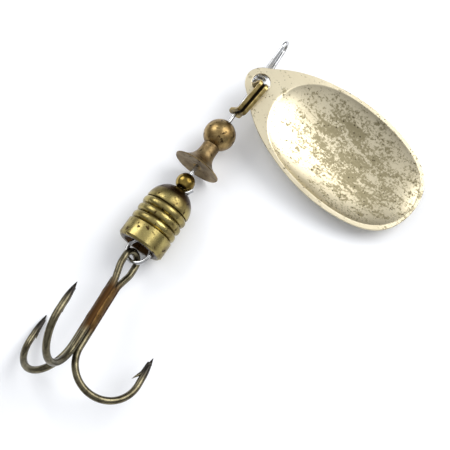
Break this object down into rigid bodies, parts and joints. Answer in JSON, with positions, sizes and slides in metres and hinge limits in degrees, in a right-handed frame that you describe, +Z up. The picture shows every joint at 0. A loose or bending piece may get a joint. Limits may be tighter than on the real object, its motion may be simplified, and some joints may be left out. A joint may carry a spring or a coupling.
{
  "type": "inline spinner",
  "caption": "Weighted wire lure: spoon blade on a clevis, ball bead, flared collar, small bead, ribbed brass weight and a barbed treble hook.",
  "frame": {"origin": "bottom centre of the overall box, on the surface the lure lies on", "axes": "+X along the wire towards the line tie, +Z up from the surface"},
  "size_m": [0.0906, 0.0526, 0.0258],
  "materials": {
    "spring_wire": "drawn spring steel wire",
    "aged_brass": "browned, spotted",
    "bright_brass": "turned, lightly tarnished",
    "tarnished_brass": "pressed strip, dark in the channel",
    "plated_blade": "polished plate, spotted and scratched",
    "bronzed_hook": "bronzed hook wire",
    "braze": "brown braze on the shank"
  },
  "bodies": {
    "shaft": {"wire_shaft": "spring_wire"},
    "weight": {"body_weight": "bright_brass"},
    "bead": {"small_bead": "bright_brass"},
    "ball": {"ball_bead": "aged_brass"},
    "bell": {"bell_collar": "aged_brass"},
    "clevis": {"clevis": "tarnished_brass"},
    "blade": {"blade": "plated_blade"},
    "hook": {"hook_double": "bronzed_hook", "hook_single": "bronzed_hook", "hook_braze": "braze"}
  },
  "joints": [
    {"name": "weight_spin", "type": "hinge", "parent": "shaft", "child": "weight", "pos_m": [-0.00398, 0.01713, 0.0053], "axis": [1, 0, 0], "continuous": true},
    {"name": "bead_spin", "type": "hinge", "parent": "shaft", "child": "bead", "pos_m": [0.00496, 0.01713, 0.0053], "axis": [1, 0, 0], "continuous": true},
    {"name": "ball_slide", "type": "slide", "parent": "shaft", "child": "ball", "axis": [1, 0, 0], "range_m": [-0.0021, 0.0023]},
    {"name": "bell_slide", "type": "slide", "parent": "shaft", "child": "bell", "axis": [1, 0, 0], "range_m": [-0.0021, 0.0023]},
    {"name": "clevis_spin", "type": "hinge", "parent": "shaft", "child": "clevis", "pos_m": [0.02437, 0.01713, 0.0053], "axis": [1, 0, 0], "continuous": true},
    {"name": "blade_swing", "type": "hinge", "parent": "clevis", "child": "blade", "pos_m": [0.03173, 0.01584, 0.00763], "axis": [1, 0, 0], "range_deg": [-4, 50]},
    {"name": "hook_swing", "type": "hinge", "parent": "shaft", "child": "hook", "pos_m": [-0.01542, 0.01667, 0.00541], "axis": [0, 0.9703, -0.2419], "range_deg": [-45, 45]}
  ],
  "couplings": [
    {"joint": "bell_slide", "follows": "ball_slide", "ratio": 1}
  ]
}
